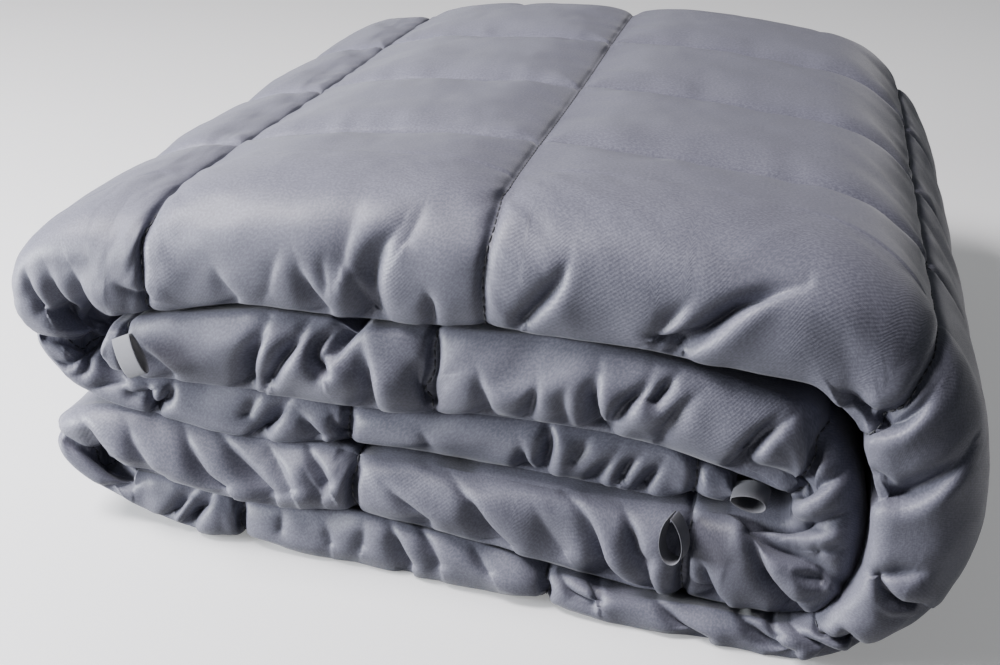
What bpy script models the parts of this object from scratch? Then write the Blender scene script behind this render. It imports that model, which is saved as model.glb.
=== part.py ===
"""A quilted weighted blanket, folded in three across and then into five layers, lying on a flat surface.

Metres, +Z up. The origin is under the middle of the pack, on the surface that it lies on. The folded front
edges face -Y and the pack's depth runs along +Y.

The blanket is one strip that runs back and forth along X. Seen from the front it starts at a hem in the second
layer, turns down on the right into the fourth, turns under on the left into the bottom layer, wraps up the
right-hand side over everything into the top layer, and turns under on the left into the third, where it ends
in its other hem. Every layer is folded in three along Y, so its front and back edges are rounded lips.
"""

import math

import bmesh
import bpy
import numpy as np
from mathutils import Vector

# Cloth, flat
CELL_LENGTH = 0.130  # a quilted cell along the blanket's length
CELL_WIDTH = 0.1017  # and across it
HEM_WIDTH = 0.014

# Pack
LEFT_X, RIGHT_X = -0.135, 0.105  # where the layers end and their turns begin
FIRST_HEM_X, LAST_HEM_X = -0.1400, 0.0885
FLAT_FROM_X = -0.090  # left of this the bottom layer lifts off the surface
LIFT_LEFT = 0.0100  # by this much where its turn begins
SKEW = 0.038  # the front and back edges lean towards the front on the right
TAPER_LEFT, TAPER_RIGHT = 0.050, 0.005  # each side draws in towards the back by this share
DROP_BACK = 0.080  # and the pack gets lower
SAG = 0.028  # and a little lower in the middle of its depth

# Heights above the surface at six even stations from LEFT_X to RIGHT_X
LAYER_HEIGHTS = {
    "top": {
        "over": (0.1300, 0.1415, 0.1475, 0.1490, 0.1480, 0.1440),
        "under": (0.0895, 0.0930, 0.0975, 0.1035, 0.1020, 0.0935),
    },
    "second": {
        "over": (0.0875, 0.0910, 0.0955, 0.1015, 0.1000, 0.0915),
        "under": (0.0645, 0.0650, 0.0650, 0.0700, 0.0690, 0.0590),
    },
    "third": {
        "over": (0.0625, 0.0630, 0.0630, 0.0680, 0.0670, 0.0570),
        "under": (0.0550, 0.0505, 0.0495, 0.0475, 0.0465, 0.0505),
    },
    "fourth": {
        "over": (0.0530, 0.0485, 0.0475, 0.0455, 0.0445, 0.0485),
        "under": (0.0260, 0.0225, 0.0230, 0.0190, 0.0125, 0.0125),
    },
    "bottom": {
        "over": (0.0240, 0.0205, 0.0210, 0.0170, 0.0105, 0.0105),
    },
}

# Front and back edge of each layer, how much further its front leans out to the right, the depth of its lip's
# rounding above and below, and the quilting of its outer side: a seam's depth and how far its rounding reaches
LAYER_EDGES = {
    "top": {
        "front": -0.2095, "lean": 0.0, "back": 0.2105,
        "above": 0.048, "below": 0.014, "seam": 0.0065, "puff": 0.036,
    },
    "second": {
        "front": -0.2060, "lean": 0.0, "back": 0.2080,
        "above": 0.012, "below": 0.012, "seam": 0.0, "puff": 0.012,
    },
    "third": {
        "front": -0.1985, "lean": 0.0, "back": 0.2030,
        "above": 0.008, "below": 0.009, "seam": 0.0, "puff": 0.012,
    },
    "fourth": {
        "front": -0.2055, "lean": 0.015, "back": 0.2070,
        "above": 0.013, "below": 0.013, "seam": 0.0, "puff": 0.012,
    },
    "bottom": {
        "front": -0.2060, "lean": 0.060, "back": 0.2050,
        "above": 0.008, "below": 0.010, "seam": 0.0015, "puff": 0.008,
    },
}
BACK_EDGE = (-0.004, -0.004, -0.010, -0.002, 0.008, 0.006)  # added to the back edge at the six stations

# The turns, in the strip's order. A side of a turn is a cubic curve whose two handles have these lengths
TURNS = (
    {"from": "second", "to": "fourth", "outer": (0.034, 0.048), "inner": (0.005, 0.006), "bend": "right"},
    {"from": "fourth", "to": "bottom", "outer": (0.032, 0.060), "inner": (0.006, 0.006), "bend": "left"},
    {"from": "bottom", "to": "top", "outer": (0.086, 0.100), "inner": (0.053, 0.042), "bend": "left"},
    {"from": "top", "to": "third", "outer": (0.056, 0.054), "inner": (0.028, 0.026), "bend": "left"},
)

# Where the strip's sewn seams lie: in which layer or turn, and how far along it
SEAMS = (
    {"in": "second", "along": 0.516},
    {"in": "second-fourth", "along": 0.15},
    {"in": "fourth", "along": 0.104},
    {"in": "fourth", "along": 0.608},
    {"in": "fourth-bottom", "along": 0.50},
    {"in": "bottom", "along": 0.200},
    {"in": "bottom", "along": 0.696},
    {"in": "bottom-top", "along": 0.17},
    {"in": "bottom-top", "along": 0.69},
    {"in": "top", "along": 0.419},
    {"in": "top", "along": 0.935},
    {"in": "top-third", "along": 0.62},
    {"in": "third", "along": 0.410},
)
FIRST_CROSS_SEAM = -0.1125
CROSS_SEAMS = tuple(FIRST_CROSS_SEAM + row * CELL_WIDTH for row in range(3))
LIP_SEAM = 0.0050  # how far a seam draws a lip in
LIP_PUFF = 0.026  # and how far along the lip that reaches

# The main creases in the front lips: where, how deep, how wide, and their lean from under to over
CREASES = (
    {"in": "second", "along": 0.26, "deep": 0.0075, "half": 0.009, "lean": 0.006},
    {"in": "second", "along": 0.40, "deep": 0.0083, "half": 0.009, "lean": 0.010},
    {"in": "second", "along": 0.70, "deep": 0.0083, "half": 0.009, "lean": 0.004},
    {"in": "second-fourth", "along": 0.34, "deep": 0.0090, "half": 0.008, "lean": 0.0},
    {"in": "second-fourth", "along": 0.62, "deep": 0.0097, "half": 0.008, "lean": 0.0},
    {"in": "fourth", "along": 0.30, "deep": 0.0075, "half": 0.009, "lean": 0.010},
    {"in": "fourth", "along": 0.82, "deep": 0.0060, "half": 0.009, "lean": 0.008},
    {"in": "bottom", "along": 0.42, "deep": 0.0060, "half": 0.009, "lean": -0.006},
    {"in": "bottom-top", "along": 0.36, "deep": 0.0097, "half": 0.010, "lean": 0.004},
    {"in": "bottom-top", "along": 0.52, "deep": 0.0097, "half": 0.010, "lean": 0.004},
    {"in": "bottom-top", "along": 0.86, "deep": 0.0090, "half": 0.010, "lean": -0.010},
    {"in": "top", "along": 0.17, "deep": 0.0105, "half": 0.010, "lean": -0.014},
    {"in": "top", "along": 0.62, "deep": 0.0075, "half": 0.010, "lean": 0.004},
    {"in": "top-third", "along": 0.18, "deep": 0.0090, "half": 0.008, "lean": 0.0},
    {"in": "top-third", "along": 0.42, "deep": 0.0075, "half": 0.008, "lean": 0.0},
    {"in": "third", "along": 0.24, "deep": 0.0060, "half": 0.009, "lean": 0.004},
    {"in": "third", "along": 0.74, "deep": 0.0060, "half": 0.009, "lean": 0.006},
)

# Mesh
CELL_STEPS = (0.0, 0.05, 0.18, 0.38, 0.62, 0.82, 0.95)
SEAM_STEPS = (-0.024, -0.006, 0.0, 0.006, 0.024)  # points beside a cross seam
HEM_STEP = 0.15  # from a hem's stitch line to the points on both sides of it, as a share of its width
HEM_STATIONS = (1 - HEM_STEP, 1.0, 1 + HEM_STEP)
HEM_SHARES = (0.92, 0.80, 0.95)  # of the filled thickness, on the band, on its stitch line and beside it
LIP_STEPS = 7
LIP_FULL = 0.8  # 1 makes the lips' sections elliptic, and less makes them fuller
LEAST_STEP = 0.0045
FINE_POINTS = 80  # of each layer and turn, from which the mesh's stations are read

# Tie loops: where each leaves the hem, the way it points, the way its tape's width runs, and its sizes
TAPE_THICK = 0.0012
LOOPS = {
    "loop_left": {
        "root": (-0.1285, -0.2051, 0.0765),
        "points": (0.98, -0.12, -0.12),
        "width": (0.22, -0.20, -0.95),
        "wide": 0.0115,
        "long": 0.0095,
        "open": 0.0045,
    },
    "loop_right_upper": {
        "root": (0.0888, -0.2020, 0.0550),
        "points": (0.96, -0.10, 0.0),
        "width": (0.12, 1.0, 0.10),
        "wide": 0.0085,
        "long": 0.012,
        "open": 0.0060,
    },
    "loop_right_lower": {
        "root": (0.0725, -0.2105, 0.0450),
        "points": (0.12, -0.25, -0.96),
        "width": (0.20, 0.95, -0.22),
        "wide": 0.0085,
        "long": 0.017,
        "open": 0.0085,
    },
}
LOOP_STEPS = 16

CLOTH_GREY = (0.135, 0.138, 0.155, 1.0)
TAPE_GREY = (0.095, 0.098, 0.112, 1.0)


def clear_scene():
    for obj in list(bpy.data.objects):
        bpy.data.objects.remove(obj)


def cloth_material(name, colour, roughness):
    material = bpy.data.materials.new(name)
    material.use_nodes = True
    shader = material.node_tree.nodes["Principled BSDF"]
    shader.inputs["Base Color"].default_value = colour
    shader.inputs["Roughness"].default_value = roughness
    shader.inputs["Metallic"].default_value = 0.0
    return material


def smooth_through(values, share):
    """A smooth curve through evenly spaced values, read at shares from 0 to 1."""
    values = np.asarray(values, float)
    place = np.clip(share, 0.0, 1.0) * (len(values) - 1)
    index = np.minimum(np.floor(place).astype(int), len(values) - 2)
    t = place - index
    padded = np.concatenate([[2 * values[0] - values[1]], values, [2 * values[-1] - values[-2]]])
    before, start, end, after = (padded[index + k] for k in range(4))
    bend = 2 * before - 5 * start + 4 * end - after
    twist = 3 * (start - end) + after - before
    return start + 0.5 * t * (end - before + t * (bend + t * twist))


def pack_share(x):
    return (x - LEFT_X) / (RIGHT_X - LEFT_X)


def layer_height(layer, side, x):
    if (layer, side) == ("bottom", "under"):
        return LIFT_LEFT * np.clip((FLAT_FROM_X - x) / (FLAT_FROM_X - LEFT_X), 0.0, None) ** 1.2
    return smooth_through(LAYER_HEIGHTS[layer][side], pack_share(x))


def layer_sides(layer, start_x, end_x):
    """A layer's sides to the right and to the left of the way that the strip runs, as (x, z) points."""
    x = np.linspace(start_x, end_x, FINE_POINTS)
    over = np.stack([x, layer_height(layer, "over", x)], axis=1)
    under = np.stack([x, layer_height(layer, "under", x)], axis=1)
    return (under, over) if end_x > start_x else (over, under)


def turn_side(before, after, handles):
    """One side of a turn: a cubic curve that leaves and meets the layers along their own slopes."""
    leave = before[-1] - before[-2]
    meet = after[1] - after[0]
    start, end = before[-1], after[0]
    first = start + handles[0] * leave / np.linalg.norm(leave)
    second = end - handles[1] * meet / np.linalg.norm(meet)
    t = np.linspace(0.0, 1.0, FINE_POINTS)[:, None]
    return (1 - t) ** 3 * start + 3 * (1 - t) ** 2 * t * first + 3 * (1 - t) * t**2 * second + t**3 * end


def strip_spans():
    """The layers and turns in the strip's order, each with its two sides."""
    ends = {
        "second": (FIRST_HEM_X, RIGHT_X),
        "fourth": (RIGHT_X, LEFT_X),
        "bottom": (LEFT_X, RIGHT_X),
        "top": (RIGHT_X, LEFT_X),
        "third": (LEFT_X, LAST_HEM_X),
    }
    layers = {name: layer_sides(name, *ends[name]) for name in ends}
    spans = [{"label": "second", "from": "second", "to": "second", "sides": layers["second"]}]
    for turn in TURNS:
        before, after = layers[turn["from"]], layers[turn["to"]]
        curves = ("inner", "outer") if turn["bend"] == "right" else ("outer", "inner")
        sides = [turn_side(before[k], after[k], turn[curves[k]]) for k in (0, 1)]
        label = f"{turn['from']}-{turn['to']}"
        spans.append({"label": label, "from": turn["from"], "to": turn["to"], "sides": sides})
        spans.append({"label": turn["to"], "from": turn["to"], "to": turn["to"], "sides": after})
    return spans


class Strip:
    """The strip's fine path: its two sides, its length so far and its place in the quilting."""

    def __init__(self):
        right, left, run, blend = [], [], [], []
        self.starts, self.lengths = {}, {}
        so_far = 0.0
        for span in strip_spans():
            middle = (span["sides"][0] + span["sides"][1]) / 2
            steps = np.linalg.norm(np.diff(middle, axis=0), axis=1)
            along = so_far + np.concatenate([[0.0], np.cumsum(steps)])
            share = (along - so_far) / (along[-1] - so_far)
            keep = slice(1 if run else 0, None)
            right.extend(span["sides"][0][keep])
            left.extend(span["sides"][1][keep])
            run.extend(along[keep])
            blend.extend((span["from"], span["to"], s * s * (3 - 2 * s)) for s in share[keep])
            self.starts[span["label"]], self.lengths[span["label"]] = so_far, along[-1] - so_far
            so_far = along[-1]
        self.right, self.left, self.run, self.blend = np.array(right), np.array(left), np.array(run), blend
        self.whole = so_far
        self.seam_runs = np.array([0.0, *[self.run_of(seam) for seam in SEAMS], so_far])
        self.crease_runs = [(self.run_of(crease), crease) for crease in CREASES]

    def run_of(self, place):
        return self.starts[place["in"]] + place["along"] * self.lengths[place["in"]]

    def sides_at(self, run):
        return [np.array([np.interp(run, self.run, side[:, k]) for k in (0, 1)]) for side in (self.right, self.left)]

    def edge(self, run, column):
        before, after, share = self.blend[min(int(np.searchsorted(self.run, run)), len(self.run) - 1)]
        return (1 - share) * LAYER_EDGES[before][column] + share * LAYER_EDGES[after][column]

    def seam_distance(self, run):
        """How far the nearest seam is, in flat cloth."""
        cell = np.interp(run, self.seam_runs, np.arange(len(self.seam_runs)))
        return abs(cell - round(cell)) * CELL_LENGTH

    def stations(self):
        runs = []
        for start, end in zip(self.seam_runs, self.seam_runs[1:]):
            runs.extend(start + step * (end - start) for step in CELL_STEPS)
        fixed = [0.0, *self.seam_runs[1:-1], self.whole, *[run for run, _ in self.crease_runs]]
        for run, crease in self.crease_runs:
            runs.extend(run + way * crease["half"] for way in (-1, 1))
        for end, way in ((0.0, 1), (self.whole, -1)):
            fixed.extend(end + way * share * HEM_WIDTH for share in HEM_STATIONS)
        chosen = list(fixed)
        for run in sorted(runs):
            if min(abs(run - other) for other in chosen) > LEAST_STEP and HEM_WIDTH < run < self.whole - HEM_WIDTH:
                chosen.append(run)
        return sorted(chosen)


def pillow(distance, reach):
    """1 on a seam, falling to 0 at the rounding's end along a quarter circle."""
    near = max(0.0, 1.0 - distance / reach)
    return 1.0 - math.sqrt(max(0.0, 1.0 - near * near))


def hem_thickness(run, whole):
    """The share of the filled thickness that is left at this distance from the strip's nearer end."""
    from_end = min(run, whole - run) / HEM_WIDTH
    for station, share in zip(HEM_STATIONS, HEM_SHARES):
        if from_end < station + HEM_STEP / 2:
            return share
    return 1.0


def crease_depth(strip, run, across):
    """How far the front lip is pushed in here; across goes from 1 on the strip's right side to -1."""
    depth = 0.0
    for centre, crease in strip.crease_runs:
        away = (run - centre - crease["lean"] * across) / crease["half"]
        depth += crease["deep"] * math.exp(-away * away)
    return depth


def in_pack(x, y, z):
    """A point of the even pack, moved to where the uneven one has it."""
    front, back = LAYER_EDGES["top"]["front"], LAYER_EDGES["top"]["back"]
    back_share = min(1.0, max(0.0, (y - front) / (back - front)))
    y += back_share**2 * float(smooth_through(BACK_EDGE, pack_share(x))) - SKEW * x
    taper = TAPER_LEFT if x < 0 else TAPER_RIGHT
    lower = DROP_BACK * back_share**3 + SAG * math.sin(math.pi * back_share) ** 2
    return Vector((x * (1 - taper * back_share), y, z * (1 - lower)))


def section(strip, run):
    """The ring of points around the strip at one station: right side, back lip, left side, front lip."""
    right, left = strip.sides_at(run)
    middle, half = (right + left) / 2, (right - left) / 2 * hem_thickness(run, strip.whole)
    thick = np.linalg.norm(half)
    front = strip.edge(run, "front") - strip.edge(run, "lean") * middle[0]
    back = strip.edge(run, "back")
    facing_up = (1 + half[1] / thick) / 2
    above, below = strip.edge(run, "above"), strip.edge(run, "below")
    depth_right = below + (above - below) * facing_up
    depth_left = above + (below - above) * facing_up
    near_seam = strip.seam_distance(run)
    sewn_end = min(run, strip.whole - run) < CELL_LENGTH / 2 and near_seam < CELL_LENGTH / 4
    lip_seam = 0.0 if sewn_end else LIP_SEAM * pillow(near_seam, LIP_PUFF)
    seam, puff = strip.edge(run, "seam"), strip.edge(run, "puff")
    long_seam = 0.0 if sewn_end else pillow(near_seam, puff)
    ring = []

    def add(y, across):
        place = middle + across * half
        ring.append(in_pack(place[0], y, place[1]))

    def add_face(y):
        cross_seam = pillow(min(abs(y - line) for line in CROSS_SEAMS), puff)
        edge_fade = min(1.0, (y - front) / depth_right, (back - y) / depth_right)
        add(y, 1.0 - seam * max(long_seam * edge_fade, cross_seam) / thick)

    def add_lip(edge, inward, first):
        for step in range(1, LIP_STEPS):
            angle = math.pi * step / LIP_STEPS
            across = first * math.copysign(abs(math.cos(angle)) ** LIP_FULL, math.cos(angle))
            depth = depth_right if across > 0 else depth_left
            bulge = math.sin(angle) ** LIP_FULL
            pushed = lip_seam + (crease_depth(strip, run, across) if inward > 0 else 0.0)
            add(edge + inward * (depth * (1 - bulge) + pushed * bulge), across)

    add_face(front + depth_right)
    for number, line in enumerate(CROSS_SEAMS):
        for step in SEAM_STEPS:
            add_face(line + step)
        if number < len(CROSS_SEAMS) - 1:
            add_face((line + CROSS_SEAMS[number + 1]) / 2)
    add_face(back - depth_right)
    add_lip(back, -1, 1)
    for y in (back - depth_left, (front + back) / 2, front + depth_left):
        add(y, -1.0)
    add_lip(front, 1, -1)
    return ring


def make_object(name, bm, material):
    bmesh.ops.recalc_face_normals(bm, faces=bm.faces)
    mesh = bpy.data.meshes.new(name)
    bm.to_mesh(mesh)
    bm.free()
    mesh.materials.append(material)
    mesh.shade_smooth()
    obj = bpy.data.objects.new(name, mesh)
    bpy.context.scene.collection.objects.link(obj)
    return obj


def swept(name, rings, material):
    """A closed solid through the rings, which all have as many points, with both ends capped."""
    bm = bmesh.new()
    rows = [[bm.verts.new(point) for point in ring] for ring in rings]
    count = len(rows[0])
    for before, after in zip(rows, rows[1:]):
        for k in range(count):
            bm.faces.new((before[k], before[(k + 1) % count], after[(k + 1) % count], after[k]))
    bm.faces.new(rows[0][::-1])
    bm.faces.new(rows[-1])
    return make_object(name, bm, material)


def tape_loop(name, place, material):
    """A short tape bent into a drop shape, with both its ends at the hem."""
    ahead = Vector(place["points"]).normalized()
    width = Vector(place["width"])
    width = (width - width.project(ahead)).normalized()
    side = ahead.cross(width)
    root = Vector(place["root"])
    rings = []
    for number in range(LOOP_STEPS + 1):
        turn = 2 * math.pi * number / LOOP_STEPS
        reach = place["long"] * (1 - math.cos(turn)) / 2
        spread = place["open"] / 2 * math.sin(turn) * math.sin(turn / 2) ** 0.6 * 1.25
        spread += TAPE_THICK * 0.8 * math.cos(turn / 2)
        middle = root + ahead * reach + side * spread
        tangent_ahead = place["long"] * math.sin(turn) / 2
        tangent_side = place["open"] / 2 * math.cos(turn)
        along = (ahead * tangent_ahead + side * tangent_side).normalized() if 0 < number < LOOP_STEPS else ahead
        if number == LOOP_STEPS:
            along = -ahead
        across = along.cross(width) * TAPE_THICK / 2
        edge = width * place["wide"] / 2
        rings.append([middle + across + edge, middle - across + edge, middle - across - edge, middle + across - edge])
    return swept(name, rings, material)


def centre_on_origin(objects):
    """Puts the origin under the middle of the box around the objects."""
    points = [vertex.co for obj in objects for vertex in obj.data.vertices]
    low = [min(point[k] for point in points) for k in range(3)]
    high = [max(point[k] for point in points) for k in range(3)]
    shift = Vector(((low[0] + high[0]) / 2, (low[1] + high[1]) / 2, low[2]))
    for obj in objects:
        for vertex in obj.data.vertices:
            vertex.co -= shift


def build():
    clear_scene()
    cloth = cloth_material("grey cotton", CLOTH_GREY, 0.75)
    tape = cloth_material("grey tape", TAPE_GREY, 0.8)
    strip = Strip()
    blanket = swept("blanket", [section(strip, run) for run in strip.stations()], cloth)
    loops = [tape_loop(name, place, tape) for name, place in LOOPS.items()]
    centre_on_origin([blanket, *loops])


build()
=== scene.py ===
import math

import bpy
import numpy as np
from mathutils import Matrix, Vector


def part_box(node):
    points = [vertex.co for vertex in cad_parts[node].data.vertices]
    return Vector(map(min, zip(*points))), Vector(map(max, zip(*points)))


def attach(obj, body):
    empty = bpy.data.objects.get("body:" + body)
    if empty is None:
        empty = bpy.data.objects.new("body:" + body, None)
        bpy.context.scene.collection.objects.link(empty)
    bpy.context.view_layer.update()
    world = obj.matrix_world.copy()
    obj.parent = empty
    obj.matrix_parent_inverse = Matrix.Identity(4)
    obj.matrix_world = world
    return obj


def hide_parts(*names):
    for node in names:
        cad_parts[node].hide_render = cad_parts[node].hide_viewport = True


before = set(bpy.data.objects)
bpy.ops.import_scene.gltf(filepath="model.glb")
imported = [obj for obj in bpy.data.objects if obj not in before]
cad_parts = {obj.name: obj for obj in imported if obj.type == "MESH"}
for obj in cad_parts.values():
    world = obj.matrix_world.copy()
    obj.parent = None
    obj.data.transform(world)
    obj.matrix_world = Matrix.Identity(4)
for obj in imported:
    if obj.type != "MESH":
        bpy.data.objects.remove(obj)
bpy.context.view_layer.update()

print("frame loaded")

# ---- camera: metres and degrees, lens and picture size in the picture's pixels
shot = dict(place=(0.0935, -0.6712, 0.3092), turn=10.215, down=23.329, roll=3.380, lens=1550, wide=1000,
            high=665)


def addObject(name, data):
    obj = bpy.data.objects.new(name, data)
    bpy.context.scene.collection.objects.link(obj)
    return obj


def shotAxes():
    turn, down, roll = (math.radians(shot[k]) for k in ("turn", "down", "roll"))
    ahead = Vector((-math.sin(turn) * math.cos(down), math.cos(turn) * math.cos(down), -math.sin(down)))
    level = Vector((math.cos(turn), math.sin(turn), 0))
    upright = level.cross(ahead)
    right = level * math.cos(roll) + upright * math.sin(roll)
    up = upright * math.cos(roll) - level * math.sin(roll)
    return right, up, ahead


def inPicture(points):
    # where points land in the picture, and how many metres one of its pixels is there
    right, up, ahead = (np.array(axis) for axis in shotAxes())
    away = points - np.array(shot["place"])
    depth = away @ ahead
    across = shot["wide"] / 2 + shot["lens"] * (away @ right) / depth
    down = shot["high"] / 2 - shot["lens"] * (away @ up) / depth
    return np.stack([across, down], axis=-1), depth / shot["lens"]


def makeCamera():
    right, up, ahead = shotAxes()
    camera = addObject("camera", bpy.data.cameras.new("camera"))
    columns = zip(right, up, -ahead, shot["place"])
    camera.matrix_world = Matrix([*columns, (0, 0, 0, 1)])
    camera.data.sensor_width = 36
    camera.data.lens = shot["lens"] * camera.data.sensor_width / shot["wide"]
    bpy.context.scene.camera = camera


makeCamera()

# ---- the folded strip: the layers and turns of the frame's solid, in metres, sampled finely
cloth = dict(cellLong=0.130, cellWide=0.1017, firstHem=0.0085, lastHem=0.0135, firstRow=-0.1125,
             hemFlat=0.86, hemFade=0.8, endRound=0.003, endLeast=0.9)
pack = dict(left=-0.135, right=0.105, firstHem=-0.1400, lastHem=0.0885, flatFrom=-0.103, lift=0.0085,
            skew=0.038, taperLeft=0.050, taperRight=0.005, drop=0.080, sag=0.028)
layerHeights = dict(
    top=dict(over=(0.1300, 0.1415, 0.1475, 0.1490, 0.1480, 0.1440),
             under=(0.0885, 0.0990, 0.1012, 0.1048, 0.1045, 0.1010)),
    second=dict(over=(0.0862, 0.0965, 0.0985, 0.1022, 0.1016, 0.0935),
                under=(0.0645, 0.0650, 0.0650, 0.0700, 0.0690, 0.0590)),
    third=dict(over=(0.0625, 0.0630, 0.0630, 0.0680, 0.0670, 0.0570),
               under=(0.0495, 0.0450, 0.0480, 0.0475, 0.0465, 0.0505)),
    fourth=dict(over=(0.0475, 0.0430, 0.0460, 0.0455, 0.0445, 0.0485),
                under=(0.0245, 0.0198, 0.0220, 0.0190, 0.0125, 0.0125)),
    bottom=dict(over=(0.0195, 0.0178, 0.0200, 0.0170, 0.0105, 0.0105)),
)
layerEdges = dict(  # front, the front's lean, back, lip depth above and below, seam depth on face and lip
    top=(-0.2095, 0.0, 0.2105, 0.048, 0.010, 0.0032, 0.0014),
    second=(-0.2072, 0.0, 0.2080, 0.009, 0.010, 0.0, 0.0045),
    third=(-0.1990, 0.0, 0.2030, 0.007, 0.008, 0.0, 0.0040),
    fourth=(-0.2062, 0.015, 0.2070, 0.010, 0.012, 0.0, 0.0042),
    bottom=(-0.2060, 0.060, 0.2050, 0.008, 0.010, 0.0012, 0.0042),
)
backEdge = (-0.004, -0.004, -0.010, -0.002, 0.008, 0.006)
turns = (
    dict(start="second", end="fourth", outer=(0.022, 0.054), inner=(0.005, 0.006), bend="right"),
    dict(start="fourth", end="bottom", outer=(0.027, 0.062), inner=(0.012, 0.010), bend="left"),
    dict(start="bottom", end="top", outer=(0.103, 0.073), inner=(0.0400, 0.0390), bend="left"),
    dict(start="top", end="third", outer=(0.070, 0.050), inner=(0.022, 0.016), bend="left"),
)
turnLips = {  # lip depth right and left, how far the crest lies off the middle, and how far back
    "bottom-top": (0.034, 0.007, -0.62, 0.001), "second-fourth": (0.010, 0.026, 0.42, 0.0),
    "top-third": (0.014, 0.034, 0.45, 0.001), "fourth-bottom": (0.010, 0.022, 0.35, 0.0),
}
seams = (("second", 0.498), ("second-fourth", 0.15), ("fourth", 0.123), ("fourth", 0.627),
         ("fourth-bottom", 0.50), ("bottom", 0.184), ("bottom", 0.676), ("bottom-top", 0.17),
         ("bottom-top", 0.76), ("top", 0.436), ("top", 0.946), ("top-third", 0.62), ("third", 0.381))
lip = dict(full=0.8, steps=90)
pathSteps = 200
quilting = dict(soft=0.0068)  # how far beside a sewn line its dip reaches
rows = [cloth["firstRow"] + k * cloth["cellWide"] for k in range(3)]
backLipPart, hiddenPart, frontLipPart = (len(rows) + k for k in (1, 2, 3))  # round the strip, after its face
smallest = 1e-12
floorGap = 0.0003  # the skin stays this far off the floor


def length(vectors, keep=False):
    return np.linalg.norm(vectors, axis=-1, keepdims=keep)


def ways(points):
    # how far along a line each of its points lies
    return np.concatenate([[0], np.cumsum(length(np.diff(points, axis=0)))])


def smoothThrough(values, share):
    values = np.asarray(values, float)
    place = np.clip(share, 0, 1) * (len(values) - 1)
    index = np.minimum(np.floor(place).astype(int), len(values) - 2)
    t = place - index
    padded = np.concatenate([[2 * values[0] - values[1]], values, [2 * values[-1] - values[-2]]])
    before, start, end, after = (padded[index + k] for k in range(4))
    bend, twist = 2 * before - 5 * start + 4 * end - after, 3 * (start - end) + after - before
    return start + 0.5 * t * (end - before + t * (bend + t * twist))


def easeIn(t):
    t = np.clip(t, 0, 1)
    return t * t * (3 - 2 * t)


def packShare(x):
    return (x - pack["left"]) / (pack["right"] - pack["left"])


def layerHeight(layer, side, x):
    if (layer, side) == ("bottom", "under"):
        reach = pack["flatFrom"] - pack["left"]
        return pack["lift"] * np.clip((pack["flatFrom"] - x) / reach, 0, None) ** 1.2
    return smoothThrough(layerHeights[layer][side], packShare(x))


def layerSides(layer, startX, endX):
    x = np.linspace(startX, endX, pathSteps)
    over, under = (np.stack([x, layerHeight(layer, side, x)], axis=1) for side in ("over", "under"))
    return (under, over) if endX > startX else (over, under)


def turnSide(before, after, handles):
    leave, meet = before[-1] - before[-2], after[1] - after[0]
    start, end = before[-1], after[0]
    first = start + handles[0] * leave / length(leave)
    second = end - handles[1] * meet / length(meet)
    t = np.linspace(0, 1, pathSteps)[:, None]
    return (1 - t) ** 3 * start + 3 * (1 - t) ** 2 * t * first + 3 * (1 - t) * t**2 * second + t**3 * end


def stripSpans():
    left, right = pack["left"], pack["right"]
    ends = dict(second=(pack["firstHem"], right), fourth=(right, left), bottom=(left, right),
                top=(right, left), third=(left, pack["lastHem"]))
    layers = {name: layerSides(name, *ends[name]) for name in ends}
    spans = [("second", "second", "second", layers["second"])]
    for turn in turns:
        before, after = layers[turn["start"]], layers[turn["end"]]
        curves = ("inner", "outer") if turn["bend"] == "right" else ("outer", "inner")
        sides = [turnSide(before[k], after[k], turn[curves[k]]) for k in (0, 1)]
        spans.append((f"{turn['start']}-{turn['end']}", turn["start"], turn["end"], sides))
        spans.append((turn["end"], turn["end"], turn["end"], after))
    return spans


class Strip:
    # the path of the whole blanket: both sides, its own edges and the cell that each place lies in
    def __init__(self):
        tracks, starts, lengths, soFar = [], {}, {}, 0.0
        self.labels = []
        for label, first, last, sides in stripSpans():
            middle = (sides[0] + sides[1]) / 2
            along = ways(middle)
            ease = easeIn(along / along[-1])[:, None]
            pair = [np.array(layerEdges[name]) for name in (first, last)]
            edges = (1 - ease) * pair[0] + ease * pair[1]
            own = turnLips.get(label, (0, 0, 0, 0))
            weight = np.sin(math.pi * along / along[-1])[:, None] * (label in turnLips)
            own = np.concatenate([weight, weight * 0 + own], axis=1)
            span = np.full((len(along), 1), len(self.labels))
            track = np.concatenate([(soFar + along)[:, None], *sides, edges, own, span], axis=1)
            tracks.append(track[1:] if tracks else track)
            starts[label], lengths[label] = soFar, along[-1]
            self.labels.append(label)
            soFar += along[-1]
        self.track, self.whole = np.concatenate(tracks), soFar
        self.seamRuns = np.array([0, *[starts[name] + share * lengths[name] for name, share in seams], soFar])
        self.cellCount = len(self.seamRuns) - 1

    def pastHem(self, run):
        # how far along each place lies, in widths of the hem that is nearer
        return np.minimum(run / cloth["firstHem"], (self.whole - run) / cloth["lastHem"])

    def at(self, cells):
        run = np.interp(cells, np.arange(self.cellCount + 1), self.seamRuns)
        read = np.stack([np.interp(run, self.track[:, 0], column) for column in self.track[:, 1:].T], axis=1)
        return run, read[:, 0:2], read[:, 2:4], read[:, 4:-1], np.round(read[:, -1]).astype(int)


def clustered(steps, pull):
    t = np.linspace(0, 1, steps + 1)
    return t - pull * np.sin(2 * math.pi * t) / (2 * math.pi)


def ringCounts(mesh):
    return (*mesh["rows"], mesh["backLip"], mesh["hidden"], mesh["frontLip"])


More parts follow.
